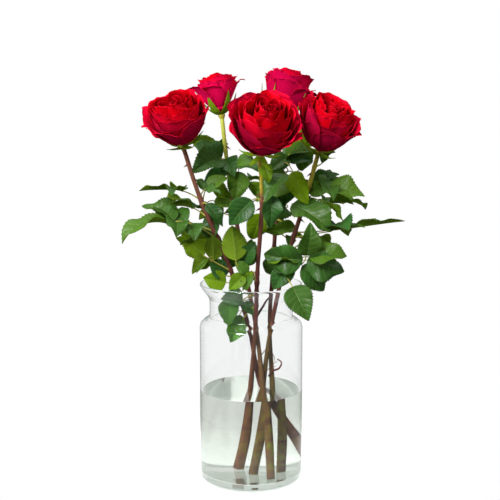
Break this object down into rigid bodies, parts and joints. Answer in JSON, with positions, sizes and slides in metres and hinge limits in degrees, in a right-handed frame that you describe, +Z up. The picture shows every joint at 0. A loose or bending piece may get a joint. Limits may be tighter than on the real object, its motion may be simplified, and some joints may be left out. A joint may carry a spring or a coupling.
{
  "type": "roses in a vase",
  "caption": "Red garden roses with leafy stems in a straight clear glass vase with a waisted neck and a flared lip, half full of water.",
  "frame": {"origin": "centre of the vase's flat underside", "axes": "+Z up through the vase's axis, +X to the right and -Y towards the front of the arrangement"},
  "size_m": [0.329, 0.2351, 0.5041],
  "materials": {
    "glass": "clear polished",
    "water": "clear liquid",
    "foliage": "satin leaf",
    "petals": "velvet petal"
  },
  "bodies": {
    "root": {"vase": "glass", "water": "water", "left_rose_leafy_stem": "foliage", "left_rose_bloom": "petals", "back_left_rose_leafy_stem": "foliage", "back_left_rose_bloom": "petals", "front_rose_leafy_stem": "foliage", "front_rose_bloom": "petals", "back_right_rose_leafy_stem": "foliage", "back_right_rose_bloom": "petals", "right_rose_leafy_stem": "foliage", "right_rose_bloom": "petals"}
  },
  "joints": []
}
